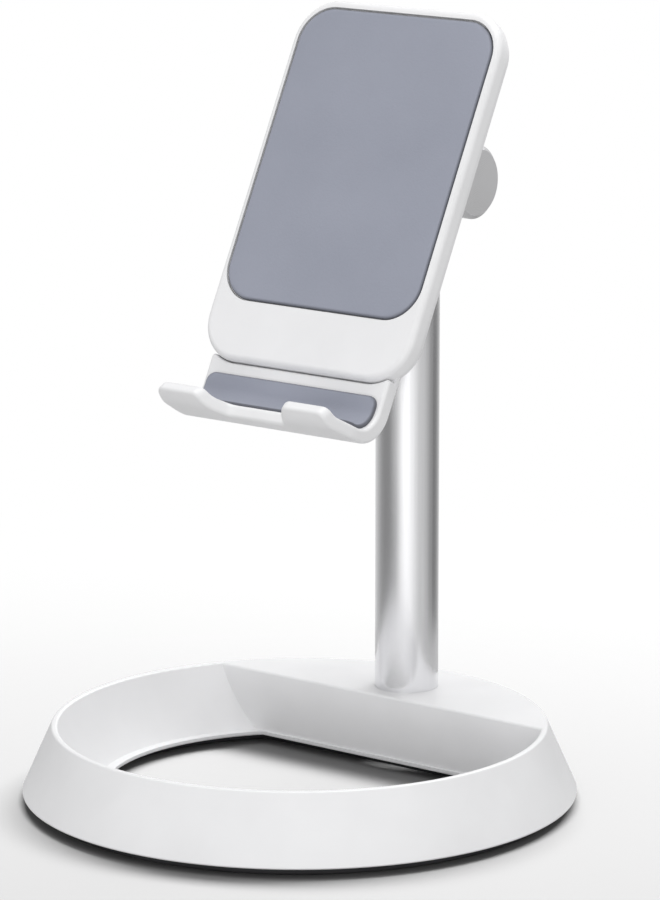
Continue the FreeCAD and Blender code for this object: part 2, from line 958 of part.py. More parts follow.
def make_hinge_cap(label, right):
    rim = size["barrel_radius"]
    bevel = size["cap_bevel"]
    depth = size["cap_thickness"]
    collar = size["recess_radius"] - size["fit_gap"]
    cavity = size["cap_cavity"]
    body = turned_body(
        label,
        [
            (cavity, -size["cap_collar"]),
            (collar, -size["cap_collar"]),
            (collar, 0),
            (rim, 0),
            (rim, depth - bevel),
            (rim - bevel, depth),
            (0, depth),
            (0, depth / 2),
            (cavity, depth / 2),
        ],
    )
    lie_on_axis(body, ear_outside if right else -ear_outside, right)
    return body


# ---------------------------------------------------------------- cradle

pad_foot = -size["axis_to_pad_foot"]
pad_head = pad_foot + size["pad_length"]
plate_foot = pad_foot - size["plate_chin"]
plate_head = pad_head + size["plate_top"]
shelf_floor = pad_foot - size["shelf_drop"]
half_plate = size["plate_width"] / 2
step_line = pad_face - size["tongue_start"]
shelf_face = plate_back - size["shelf_forward"]
cove_centre = (shelf_face - size["cove_radius"], shelf_floor + size["cove_radius"])
plate_screw_places = [
    (size["plate_screw_side"] * side, level)
    for side in (-1, 1)
    for level in (plate_head - size["plate_screw_inset"], plate_foot + size["plate_screw_inset"])
]


def shelf_profile():
    """Section of the bent sheet that holds the phone's foot, from the plate to the hook tips."""
    thick = size["sheet"]
    cove = size["cove_radius"]
    hook = size["hook_radius"]
    cove_y, cove_z = cove_centre
    back_y = cove_y + size["shelf_swell"]
    hook_y = pad_face - size["hook_start"]
    hook_z = shelf_floor + hook
    lean = sine(size["hook_angle"])
    rise = cosine(size["hook_angle"])
    top = pad_foot - size["shelf_root"]
    return [
        (shelf_face, top),
        (shelf_face, cove_z),
        Arc(cove_y, cove_z, cove, -1),
        (cove_y, shelf_floor),
        (hook_y, shelf_floor),
        Arc(hook_y, hook_z, hook, -1),
        (hook_y - hook * lean, hook_z - hook * rise),
        (hook_y - (hook + thick) * lean, hook_z - (hook + thick) * rise),
        Arc(hook_y, hook_z, hook + thick, 1),
        (hook_y, shelf_floor - thick),
        (back_y, shelf_floor - thick),
        Arc(back_y, cove_z, cove + thick, 1),
        (back_y + cove + thick, cove_z),
        (back_y + cove + thick, top),
    ]


def cut_shelf_front(body):
    """Cable notch in the middle and the tapering sides of the hooks, seen from above."""
    front = pad_face - size["shelf_reach"]
    notch = pad_face - size["notch_depth"]
    foot = size["notch_foot"]
    mouth = size["notch_mouth"]
    sketch = sketch_on(body, "XY_Plane")
    draw_loop(sketch, [(-foot, notch), (foot, notch), (mouth, front), (-mouth, front)])
    half_shelf = size["shelf_width"] / 2
    beyond = half_shelf + size["clear_margin"]
    for side in (-1, 1):
        draw_loop(
            sketch,
            [
                (size["tongue_outer"] * side, front),
                (half_shelf * side, step_line),
                (beyond * side, step_line),
                (beyond * side, front),
            ],
        )
    pocket(sketch)


def through_shelf(edge):
    """True for a straight edge that runs through the sheet in front of the cove."""
    box = edge.BoundBox
    thick = size["sheet"].value
    straight = edge.Curve.TypeId == "Part::GeomLine"
    across = box.ZLength > thick / 2 and edge.Length < thick * 1.2
    return straight and across and box.YMax < cove_centre[0].value


def at_step(edge):
    """True for the corners where the shelf steps in to the hooks."""
    return through_shelf(edge) and edge.BoundBox.YMin > step_line.value - LEVEL_TOLERANCE


def at_hook(edge):
    """True for the corners of the hook tips and the cable notch."""
    return through_shelf(edge) and edge.BoundBox.YMin < step_line.value - LEVEL_TOLERANCE


def normal_at(face, point):
    return face.normalAt(*face.Surface.parameter(point))


def sticks_out(solid, edge):
    """True where two faces of the solid meet at a clear convex angle."""
    faces = solid.ancestorsOfType(edge, Part.Face)
    if len(faces) < 2:
        return False
    middle = edge.valueAt((edge.FirstParameter + edge.LastParameter) / 2)
    first, second = [normal_at(face, middle) for face in faces]
    creased = math.degrees(first.getAngle(second)) > CREASE_ANGLE
    beside = middle + (first - second) * LEVEL_TOLERANCE
    return creased and not solid.isInside(beside, 1e-6, False)


def nest_plate(body):
    """Room for the front plate in the front of the shelf's root."""
    gap = size["nest_gap"]
    sketch = sketch_on(body, "XZ_Plane", -plate_back)
    draw_loop(
        sketch,
        rounded_rectangle(
            half_plate + gap, plate_foot - gap, plate_head + gap, size["plate_corner"] + gap
        ),
    )
    pocket(sketch, size["plate_thickness"], reverse=True)


def make_back_shell():
    body = new_body("cradle_back_shell")
    inset = size["back_inset"]
    sketch = sketch_on(body, "XZ_Plane", -sheet_back)
    draw_loop(
        sketch,
        rounded_rectangle(
            half_plate - inset,
            plate_foot + inset,
            plate_head - inset,
            size["plate_corner"] - inset,
        ),
    )
    pad(sketch, size["sheet"])
    round_edges(body, size["back_rounding"], lambda edge: flat_at(edge, 1, sheet_back))
    sketch = sketch_on(body, "YZ_Plane")
    draw_loop(sketch, shelf_profile())
    pad(sketch, size["shelf_width"], symmetric=True)
    nest_plate(body)
    cut_shelf_front(body)
    round_edges(body, size["hook_rounding"], at_hook)
    round_edges(body, size["step_rounding"], at_step)
    solid = body.Tip.Shape
    below = (plate_back - sized(LEVEL_TOLERANCE)).value

    def on_shelf(edge):
        return edge.BoundBox.YMin < below and sticks_out(solid, edge)

    round_edges(body, size["shelf_rounding"], on_shelf)
    drill_back_shell(body)
    in_cradle(body)
    return body


def drill_back_shell(body):
    thick = size["sheet"]
    gap = size["head_gap"]
    for thread, face, places, reverse in (
        ("m3", plate_back, bracket_screw_places, False),
        ("m2", sheet_back, plate_screw_places, True),
    ):
        head_depth = size[thread + "_head_height"] + gap
        for radius, depth in (
            (size[thread + "_head"] + gap, head_depth),
            (size[thread + "_clearance"], thick),
        ):
            sketch = sketch_on(body, "XZ_Plane", -face)
            for screw_place in places:
                draw_circle(sketch, radius, screw_place)
            pocket(sketch, depth, reverse)


def make_front_plate():
    body = new_body("cradle_front_plate")
    corner = size["plate_corner"]
    sketch = sketch_on(body, "XZ_Plane", -plate_back)
    draw_loop(sketch, rounded_rectangle(half_plate, plate_foot, plate_head, corner))
    pad(sketch, size["plate_thickness"])
    round_edges(body, size["plate_rounding"], lambda edge: flat_at(edge, 1, plate_front))
    sketch = sketch_on(body, "XZ_Plane", -plate_front)
    margin = size["pad_margin"]
    draw_loop(
        sketch,
        rounded_rectangle(
            size["pad_width"] / 2 + margin,
            pad_foot - margin,
            pad_head + margin,
            size["pad_corner"] + margin,
        ),
    )
    pocket(sketch, size["pad_thickness"] - size["pad_proud"])
    sketch = sketch_on(body, "XZ_Plane", -plate_back)
    rim = size["plate_rim"]
    draw_loop(
        sketch,
        rounded_rectangle(half_plate - rim, plate_foot + rim, plate_head - rim, corner - rim),
    )
    for screw_place in plate_screw_places:
        draw_circle(sketch, size["m2_head"] + size["plate_screw_wall"], screw_place)
    pocket(sketch, size["plate_hollow"], reverse=True)
    sketch = sketch_on(body, "XZ_Plane", -plate_back)
    for screw_place in plate_screw_places:
        draw_circle(sketch, size["m2_radius"] + size["thread_gap"], screw_place)
    pocket(sketch, size["plate_screw_depth"], reverse=True)
    in_cradle(body)
    return body


def make_back_pad():
    body = new_body("back_pad")
    sketch = sketch_on(body, "XZ_Plane", -(pad_face + size["pad_thickness"]))
    draw_loop(
        sketch,
        rounded_rectangle(size["pad_width"] / 2, pad_foot, pad_head, size["pad_corner"]),
    )
    pad(sketch, size["pad_thickness"])
    round_edges(body, size["pad_rounding"], lambda edge: flat_at(edge, 1, pad_face))
    in_cradle(body)
    return body


def make_shelf_pad():
    body = new_body("shelf_pad")
    thick = size["shelf_pad_thickness"]
    cove = size["cove_radius"]
    cove_y, cove_z = cove_centre
    top = pad_foot - size["shelf_pad_top"]
    front = pad_face - size["shelf_pad_front"]
    sketch = sketch_on(body, "YZ_Plane")
    draw_loop(
        sketch,
        [
            (shelf_face, top),
            (shelf_face, cove_z),
            Arc(cove_y, cove_z, cove, -1),
            (cove_y, shelf_floor),
            (front, shelf_floor),
            (front, shelf_floor + thick),
            (cove_y, shelf_floor + thick),
            Arc(cove_y, cove_z, cove - thick, 1),
            (shelf_face - thick, cove_z),
            (shelf_face - thick, top),
        ],
    )
    pad(sketch, size["shelf_pad_width"], symmetric=True)
    side = size["shelf_pad_width"] / 2

    def at_corner(edge):
        at_side = flat_at(edge, 0, side) or flat_at(edge, 0, -side)
        return at_side and edge.Length < thick.value * 1.2

    round_edges(body, size["shelf_pad_corner"], at_corner)
    in_cradle(body)
    return body


def make_bracket_screws():
    points = [(x, plate_back + size["head_gap"], z) for x, z in bracket_screw_places]
    length = size["bracket_screw_length"]
    backwards = Rotation(Vector(1, 0, 0), -90)
    group = make_screw_group("bracket_screws", "m3", length, points, backwards)
    in_cradle(group)
    return group


def make_plate_screws():
    points = [(x, sheet_back - size["head_gap"], z) for x, z in plate_screw_places]
    length = size["plate_screw_length"]
    forwards = Rotation(Vector(1, 0, 0), 90)
    group = make_screw_group("plate_screws", "m2", length, points, forwards)
    in_cradle(group)
    return group


# ---------------------------------------------------------------- assembly

nodes = [
    make_base_shell(),
    make_bottom_cover(),
    make_ballast(),
    make_foot_ring(),
    make_cover_screws(),
    make_pole_tube(),
    make_pole_plug(),
    make_pole_bolt(),
    make_pole_washer(),
    make_pole_head(),
    make_lock_screw(),
    make_hinge_bracket(),
    make_hinge_bolt(),
    make_hinge_nut(),
    make_friction_washer("friction_washer_left", False),
    make_friction_washer("friction_washer_right", True),
    make_disc_springs(),
    make_hinge_cap("hinge_cap_left", False),
    make_hinge_cap("hinge_cap_right", True),
    make_back_shell(),
    make_front_plate(),
    make_back_pad(),
    make_shelf_pad(),
    make_bracket_screws(),
    make_plate_screws(),
]
doc.recompute()

for item in doc.Objects:
    if "Invalid" in item.State or "Error" in item.State:
        raise RuntimeError("%s failed: %s" % (item.Label, item.State))
os.makedirs("parts", exist_ok=True)
for node in nodes:
    if node.Shape.isNull() or not node.Shape.isValid():
        raise RuntimeError("%s has no valid shape" % node.Label)
    node.Shape.exportStep("parts/%s.step" % node.Label)
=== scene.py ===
import json
import math
import bmesh
import bpy
from mathutils import Matrix, Vector


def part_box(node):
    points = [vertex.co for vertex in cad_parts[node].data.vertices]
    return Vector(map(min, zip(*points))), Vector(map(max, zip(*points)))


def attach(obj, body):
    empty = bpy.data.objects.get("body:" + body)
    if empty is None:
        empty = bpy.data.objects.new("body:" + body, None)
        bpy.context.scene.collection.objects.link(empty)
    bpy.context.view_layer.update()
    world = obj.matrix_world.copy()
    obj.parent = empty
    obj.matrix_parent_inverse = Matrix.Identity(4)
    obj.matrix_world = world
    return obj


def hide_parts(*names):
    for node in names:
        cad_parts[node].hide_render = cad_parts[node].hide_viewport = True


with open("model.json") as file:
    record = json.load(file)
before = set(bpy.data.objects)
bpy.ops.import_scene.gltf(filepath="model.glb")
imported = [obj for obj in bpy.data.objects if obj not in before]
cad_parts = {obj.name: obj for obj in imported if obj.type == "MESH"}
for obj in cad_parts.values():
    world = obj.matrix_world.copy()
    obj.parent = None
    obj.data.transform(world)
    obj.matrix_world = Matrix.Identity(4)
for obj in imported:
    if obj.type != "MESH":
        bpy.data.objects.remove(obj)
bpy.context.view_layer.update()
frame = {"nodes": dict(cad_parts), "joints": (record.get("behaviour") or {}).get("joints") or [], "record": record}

MM = 0.001
joint = frame["joints"][0]
HINGE = Vector(joint["pos_m"])
TILT = math.radians(27.64)
# The cradle's own frame: X is its width, Y points away from the phone and Z runs up the phone.
CRADLE = Matrix.Translation(HINGE) @ Matrix.Rotation(-TILT, 4, "X")


# ---------------------------------------------------------------- materials


class Finish:
    """A node material around one Principled shader, with helpers for patterns in metres."""

    def __init__(self, name, **fixed):
        self.material = bpy.data.materials.new(name)
        self.material.use_nodes = True
        self.nodes = self.material.node_tree.nodes
        self.links = self.material.node_tree.links
        self.shader = self.nodes["Principled BSDF"]
        self.place = self.nodes.new("ShaderNodeTexCoord").outputs["Object"]
        for socket, value in fixed.items():
            self.shader.inputs[socket.replace("_", " ")].default_value = value

    def node(self, kind, **settings):
        made = self.nodes.new(kind)
        for key, value in settings.items():
            setattr(made, key, value)
        return made

    def stretched(self, source, scale):
        """Coordinates scaled by axis, so that a pattern is drawn out along the smallest scale."""
        mapping = self.node("ShaderNodeMapping")
        mapping.inputs["Scale"].default_value = scale
        self.links.new(source, mapping.inputs["Vector"])
        return mapping.outputs["Vector"]

    def noise(self, scale, detail=2.0, source=None):
        made = self.node("ShaderNodeTexNoise")
        made.inputs["Scale"].default_value = scale
        made.inputs["Detail"].default_value = detail
        self.links.new(source or self.place, made.inputs["Vector"])
        return made.outputs["Fac"]

    def cells(self, scale):
        made = self.node("ShaderNodeTexVoronoi", feature="SMOOTH_F1")
        made.inputs["Scale"].default_value = scale
        self.links.new(self.place, made.inputs["Vector"])
        return made.outputs["Distance"]

    def rings(self, centre, across, pitch):
        """Fine turned rings round an axis through centre; across masks out the axis itself."""
        away = self.node("ShaderNodeVectorMath", operation="SUBTRACT")
        away.inputs[1].default_value = centre
        self.links.new(self.place, away.inputs[0])
        flat = self.node("ShaderNodeVectorMath", operation="MULTIPLY")
        flat.inputs[1].default_value = across
        self.links.new(away.outputs[0], flat.inputs[0])
        radius = self.node("ShaderNodeVectorMath", operation="LENGTH")
        self.links.new(flat.outputs[0], radius.inputs[0])
        phase = self.node("ShaderNodeMath", operation="MULTIPLY")
        phase.inputs[1].default_value = math.tau / pitch
        self.links.new(radius.outputs["Value"], phase.inputs[0])
        wave = self.node("ShaderNodeMath", operation="SINE")
        self.links.new(phase.outputs[0], wave.inputs[0])
        return wave.outputs[0]

    def colour(self, pattern, low, high, start=0.3, end=0.7):
        ramp = self.node("ShaderNodeValToRGB")
        ramp.color_ramp.elements[0].position = start
        ramp.color_ramp.elements[0].color = (*low, 1)
        ramp.color_ramp.elements[1].position = end
        ramp.color_ramp.elements[1].color = (*high, 1)
        self.links.new(pattern, ramp.inputs["Fac"])
        self.links.new(ramp.outputs["Color"], self.shader.inputs["Base Color"])

    def paint_rim_shade(self, share):
        """Painted shade: multiplies the colour down to share where the mesh's rim attribute is 1, a dark line that
        stands in for the shadow in the gap round a pad.
        """
        rim = self.node("ShaderNodeAttribute", attribute_name="rim")
        mix = self.node("ShaderNodeMixRGB", blend_type="MULTIPLY")
        mix.inputs["Color2"].default_value = (share, share, share, 1)
        plain = self.shader.inputs["Base Color"].links[0].from_socket
        self.links.new(rim.outputs["Fac"], mix.inputs["Fac"])
        self.links.new(plain, mix.inputs["Color1"])
        self.links.new(mix.outputs["Color"], self.shader.inputs["Base Color"])

    def roughness(self, pattern, low, high):
        ranged = self.node("ShaderNodeMapRange")
        ranged.inputs["To Min"].default_value = low
        ranged.inputs["To Max"].default_value = high
        self.links.new(pattern, ranged.inputs["Value"])
        self.links.new(ranged.outputs["Result"], self.shader.inputs["Roughness"])

    def bump(self, *layers):
        """Layers of (pattern, depth in metres), each raised on the one before."""
        below = None
        for pattern, depth in layers:
            made = self.node("ShaderNodeBump")
            made.inputs["Distance"].default_value = depth
            self.links.new(pattern, made.inputs["Height"])
            if below:
                self.links.new(below, made.inputs["Normal"])
            below = made.outputs["Normal"]
        self.links.new(below, self.shader.inputs["Normal"])


def white_plastic():
    made = Finish("white_shell", Coat_Weight=0.15, Coat_Roughness=0.2)
    cloudy = made.noise(60, 3)
    grain = made.noise(3200, 3)
    made.colour(cloudy, (0.80, 0.80, 0.81), (0.84, 0.84, 0.85))
    made.roughness(cloudy, 0.36, 0.46)
    made.bump((grain, 0.000006), (cloudy, 0.00002))
    return made


def drawn_aluminium():
    made = Finish("satin_aluminium", Metallic=1.0)
    lines = made.noise(1.0, 3, made.stretched(made.place, (2600, 2600, 30)))
    cloudy = made.noise(60, 3)
    made.colour(lines, (0.86, 0.86, 0.875), (0.90, 0.90, 0.915))
    made.roughness(cloudy, 0.20, 0.24)
    made.bump((lines, 0.0000004))
    return made


def turned_aluminium():
    made = Finish("cap_aluminium", Metallic=1.0)
    rings = made.rings(HINGE, (0, 1, 1), 0.35 * MM)
    made.colour(rings, (0.66, 0.66, 0.67), (0.74, 0.74, 0.75), 0.0, 1.0)
    made.roughness(made.noise(300, 3), 0.38, 0.48)
    made.bump((rings, 0.000006))
    return made


def silicone():
    made = Finish("pad_silicone", Sheen_Weight=0.12, Sheen_Roughness=0.5)
    cloudy = made.noise(45, 4)
    grain = made.noise(2400, 4)
    made.colour(cloudy, (0.282, 0.298, 0.360), (0.305, 0.321, 0.386))
    # painted shade: the pad's sides and a thin band inside its edge are darkened, standing in for the shadow in
    # its recess
    made.paint_rim_shade(0.35)
    made.roughness(grain, 0.55, 0.75)
    made.bump((grain, 0.00003), (made.cells(1500), 0.00002))
    return made


def rubber():
    made = Finish("foot_rubber")
    grain = made.noise(1800, 4)
    made.colour(made.noise(70, 3), (0.018, 0.018, 0.02), (0.03, 0.03, 0.033))
    made.roughness(grain, 0.6, 0.85)
    made.bump((grain, 0.00004))
    return made


def metal(name, low, high, smooth, rough):
    made = Finish(name, Metallic=1.0)
    scratches = made.noise(1.0, 3, made.stretched(made.place, (900, 2600, 900)))
    made.colour(made.noise(500, 3), low, high)
    made.roughness(scratches, smooth, rough)
    made.bump((scratches, 0.000006))
    return made


def plain_plastic(name, low, high):
    made = Finish(name)
    grain = made.noise(1500, 3)
    made.colour(made.noise(80, 3), low, high)
    made.roughness(grain, 0.5, 0.65)
    made.bump((grain, 0.00002))
    return made


finishes = {
    "white_shell": white_plastic(),
    "satin_aluminium": drawn_aluminium(),
    "cap_aluminium": turned_aluminium(),
    "pad_silicone": silicone(),
    "foot_rubber": rubber(),
    "zinc_steel": metal("zinc_steel", (0.48, 0.49, 0.51), (0.60, 0.61, 0.63), 0.35, 0.55),
    "screw_steel": metal("screw_steel", (0.56, 0.56, 0.57), (0.66, 0.66, 0.67), 0.2, 0.35),
    "black_steel": metal("black_steel", (0.05, 0.05, 0.055), (0.08, 0.08, 0.085), 0.35, 0.5),
    "grey_cover": plain_plastic("grey_cover", (0.19, 0.19, 0.20), (0.24, 0.24, 0.25)),
    "washer_nylon": plain_plastic("washer_nylon", (0.74, 0.73, 0.69), (0.82, 0.81, 0.77)),
}
for part in frame["record"]["subparts"]:
    node = frame["nodes"][part["node"]]
    for material_slot in node.material_slots:
        material_slot.material = finishes[part["material_slot"]].material


# ---------------------------------------------------------------- soft pieces


def new_piece(name, slot, body, mesh_data, stands_for):
    """A smooth-shaded piece in its slot's finish, riding on a body in place of a node."""
    mesh = bpy.data.meshes.new(name)
    mesh_data.normal_update()
    bmesh.ops.recalc_face_normals(mesh_data, faces=mesh_data.faces)
    mesh_data.to_mesh(mesh)
    mesh_data.free()
    mesh.shade_smooth()
    mesh.materials.append(finishes[slot].material)
    piece = bpy.data.objects.new(name, mesh)
    bpy.context.collection.objects.link(piece)
    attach(piece, body)
    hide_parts(stands_for)
    return piece


def spread(start, end, steps):
    """Even steps from start to end, both included."""
    return [start + (end - start) * step / steps for step in range(steps + 1)]


def eased(radius, steps):
    """Distances from an edge that follow a quarter circle of this radius."""
    return [radius * (1 - math.cos(math.pi / 2 * step / steps)) for step in range(steps + 1)]


def rows_along(length, corner, rounding):
    """Stations along a pad: close together at the rounded ends, even between them."""
    near = sorted(set(eased(corner, 14) + eased(rounding, 5)))
    middle = spread(corner, length - corner, 24)[1:-1]
    return near + middle + [length - distance for distance in reversed(near)]


# The pads' sizes are in millimetres in the cradle's own frame, and so is the reach of the painted shade along
# their edges.
PAINTED_SHADE_REACH = 0.5
PAD_FACE = -18.15
BACK_PAD = {
    "foot": -37.4,
    "length": 67.3,
    "half_width": 25.8,
    "corner": 7.8,
    "thickness": 1.2,
    "rounding": 0.7,
    "crown": 0.12,
}
SHELF_PAD = {
    "half_width": 22.8,
    "corner": 2.2,
    "thickness": 0.9,
    "rounding": 0.5,
    "face": -16.85,
    "cove": 5.4,
    "level": -62.4,
    "top": -54.1,
    "reach_past_face": 6.3,
}


# Columns of a pad's mesh further in than its rounded edge, as shares of its half width.
INNER_COLUMNS = [0.06, 0.12, 0.2, 0.35, 0.6, 0.85]


def soft_sheet(place_at, length, half_width, corner, thickness, rounding, crown):
    """A closed moulded sheet with rounded corners and rounded edges.

    place_at(across, along, height) gives the point at that height over the surface below.
    """

    def depth_inside(across, along):
        out_x = abs(across) - (half_width - corner)
        out_y = abs(along - length / 2) - (length / 2 - corner)
        outside = math.hypot(max(out_x, 0), max(out_y, 0)) + min(max(out_x, out_y), 0)
        return max(corner - outside, 0)

    def height_at(across, along):
        inside = depth_inside(across, along)
        short = max(rounding - inside, 0)
        edge = thickness - rounding + math.sqrt(max(rounding ** 2 - short ** 2, 0))
        return edge + crown * min(inside / half_width, 1) ** 0.7

    at_edge = [distance / half_width for distance in eased(rounding, 6)]
    left = [-1 + share for share in sorted(set(at_edge + INNER_COLUMNS))]
    columns = left + [0] + [-share for share in reversed(left)]
    work = bmesh.new()
    # rim carries painted shade: 1 on the sides and underside, fading to 0 over a thin band inside the top's edge
    rim = work.verts.layers.float.new("rim")
    tops = []
    feet = []
    for along in rows_along(length, corner, rounding):
        short = max(corner - along, corner - (length - along), 0)
        reach = half_width - corner + math.sqrt(max(corner ** 2 - short ** 2, 0))
        spots = [(share * reach, along) for share in columns]
        tops.append([work.verts.new(place_at(*spot, height_at(*spot))) for spot in spots])
        feet.append([work.verts.new(place_at(*spot, 0)) for spot in spots])
        for spot, top, foot in zip(spots, tops[-1], feet[-1]):
            top[rim] = max(1 - depth_inside(*spot) / PAINTED_SHADE_REACH, 0)
            foot[rim] = 1
    for sheet in (tops, feet):
        for row, following in zip(sheet, sheet[1:]):
            for column in range(len(row) - 1):
                work.faces.new((row[column], row[column + 1], following[column + 1], following[column]))
    rims = [
        (tops[0], feet[0]),
        (tops[-1], feet[-1]),
        ([row[0] for row in tops], [row[0] for row in feet]),
        ([row[-1] for row in tops], [row[-1] for row in feet]),
    ]
    for upper, lower in rims:
        for number in range(len(upper) - 1):
            work.faces.new((upper[number], upper[number + 1], lower[number + 1], lower[number]))
    return work


def add_back_pad():
    """The large flat pad on the front plate."""
    pad = BACK_PAD

    def place_at(across, along, height):
        back = PAD_FACE + pad["thickness"] - height
        return CRADLE @ (Vector((across, back, pad["foot"] + along)) * MM)

    sheet = soft_sheet(
        place_at,
        pad["length"],
        pad["half_width"],
        pad["corner"],
        pad["thickness"],
        pad["rounding"],
        pad["crown"],
    )
    piece = new_piece("silicone_back_pad", "pad_silicone", "cradle", sheet, "back_pad")


def add_shelf_pad():
    """The pad that runs down the back of the shelf, round its cove and out towards the hooks."""
    pad = SHELF_PAD
    face = pad["face"]
    cove = pad["cove"]
    level = pad["level"]
    straight = pad["top"] - (level + cove)
    bend = math.pi / 2 * cove
    front_run = (face - cove) - (PAD_FACE - pad["reach_past_face"])
    length = straight + bend + front_run

    def place_at(across, along, height):
        if along < straight:
            back = face - height
            up = pad["top"] - along
        elif along < straight + bend:
            angle = (along - straight) / cove
            reach = cove - height
            back = face - cove + reach * math.cos(angle)
            up = level + cove - reach * math.sin(angle)
        else:
            back = face - cove - (along - straight - bend)
            up = level + height
        return CRADLE @ (Vector((across, back, up)) * MM)

    sheet = soft_sheet(
        place_at,
        length,
        pad["half_width"],
        pad["corner"],
        pad["thickness"],
        pad["rounding"],
        0.0,
    )
    piece = new_piece("silicone_shelf_pad", "pad_silicone", "cradle", sheet, "shelf_pad")


# The rubber ring's radii and height in millimetres, and the line that its back runs along.
FOOT_OUTER = 57.0
FOOT_INNER = 45.6
FOOT_CHORD = 30.6
FOOT_TOP = 2.0
# Across the ring, a share of its width; up it, millimetres.
FOOT_INNER_EDGE = [(0.0, FOOT_TOP), (0.0, 0.45), (0.01, 0.2), (0.035, 0.06), (0.08, 0.0)]
FOOT_OUTER_EDGE = [(0.92, 0.0), (0.965, 0.06), (0.99, 0.2), (1.0, 0.45), (1.0, FOOT_TOP)]
GROOVES = (0.28, 0.5, 0.72)
GROOVE_DEPTH = 0.35
GROOVE_HALF_MOUTH = 0.05
GROOVE_HALF_FLOOR = 0.035


def foot_section():
    """The ring's closed section, with its grooved tread below."""
    section = list(FOOT_INNER_EDGE)
    for groove in GROOVES:
        section += [
            (groove - GROOVE_HALF_MOUTH, 0.0),
            (groove - GROOVE_HALF_FLOOR, GROOVE_DEPTH),
            (groove + GROOVE_HALF_FLOOR, GROOVE_DEPTH),
            (groove + GROOVE_HALF_MOUTH, 0.0),
        ]
    return section + FOOT_OUTER_EDGE


def add_foot_ring():
    """Rubber ring with a softly rounded, grooved tread."""
    corner_angle = math.asin(FOOT_CHORD / FOOT_INNER)
    angles = sorted(
        spread(-math.pi - corner_angle, corner_angle, 150)
        + spread(corner_angle, math.pi - corner_angle, 40)[1:-1]
    )
    section = foot_section()
    work = bmesh.new()
    loops = []
    for angle in angles:
        on_chord = corner_angle < angle < math.pi - corner_angle
        near = FOOT_CHORD / math.sin(angle) if on_chord else FOOT_INNER
        loop = []
        for share, level in section:
            radius = near + (FOOT_OUTER - near) * share
            spot = Vector((radius * math.cos(angle), radius * math.sin(angle), level))
            loop.append(work.verts.new(spot * MM))
        loops.append(loop)
    for loop, following in zip(loops, loops[1:] + loops[:1]):
        for number in range(len(section)):
            after = (number + 1) % len(section)
            work.faces.new((loop[number], loop[after], following[after], following[number]))
    new_piece("rubber_foot_ring", "foot_rubber", "stand", work, "anti_slip_ring")


add_back_pad()
add_shelf_pad()
add_foot_ring()


# ---------------------------------------------------------------- camera, light and floor

AZIMUTH = math.radians(37.96)
ELEVATION = math.radians(12.29)
DISTANCE = 1.00545
AIM = Vector((-4.39, 16.24, 73.19)) * MM
LENS = 186.0
SENSOR = 36.0


def add_camera():
    """The camera at the photograph's angle and distance."""
    right = Vector((math.cos(AZIMUTH), math.sin(AZIMUTH), 0))
    back = Vector((math.sin(AZIMUTH) * math.cos(ELEVATION),
                   -math.cos(AZIMUTH) * math.cos(ELEVATION),
                   math.sin(ELEVATION)))
    up = back.cross(right)
    data = bpy.data.cameras.new("camera")
    data.lens = LENS
    data.sensor_width = SENSOR
    data.clip_end = 20
    camera = bpy.data.objects.new("camera", data)
    bpy.context.collection.objects.link(camera)
    turned = Matrix((right, up, back)).transposed().to_4x4()
    camera.matrix_world = Matrix.Translation(AIM + back * DISTANCE) @ turned
    bpy.context.scene.camera = camera


def add_light(name, place, target, width, height, power):
    """A soft rectangular lamp at a place, turned to its target; sizes in metres, power in watts."""
    data = bpy.data.lights.new(name, "AREA")
    data.shape = "RECTANGLE"
    data.size = width
    data.size_y = height
    data.energy = power
    lamp = bpy.data.objects.new(name, data)
    bpy.context.collection.objects.link(lamp)
    lamp.location = place
    lamp.rotation_euler = (Vector(target) - Vector(place)).to_track_quat("-Z", "Y").to_euler()
    return lamp


# The camera sees the floor, the backdrop and the studio at one brightness, and every other ray at
# another, so that a white background doesn't flood the object with light.
FLOOR_SEEN = 0.17
FLOOR_OTHER = 0.10
BACKDROP_SEEN = 1.0
BACKDROP_OTHER = 0.65
STUDIO_OTHER = 0.62
# In metres: half the floor's side, and the radii between which it turns into the backdrop.
FLOOR_REACH = 3.0
FADE_START = 0.1
FADE_END = 0.28


def seen_or_other(tree, seen, other):
    """A number that is one thing to the camera and another to every other ray."""
    choice = tree.nodes.new("ShaderNodeMapRange")
    choice.inputs["To Min"].default_value = other
    choice.inputs["To Max"].default_value = seen
    light_path = tree.nodes.new("ShaderNodeLightPath")
    tree.links.new(light_path.outputs["Is Camera Ray"], choice.inputs["Value"])
    return choice.outputs["Result"]


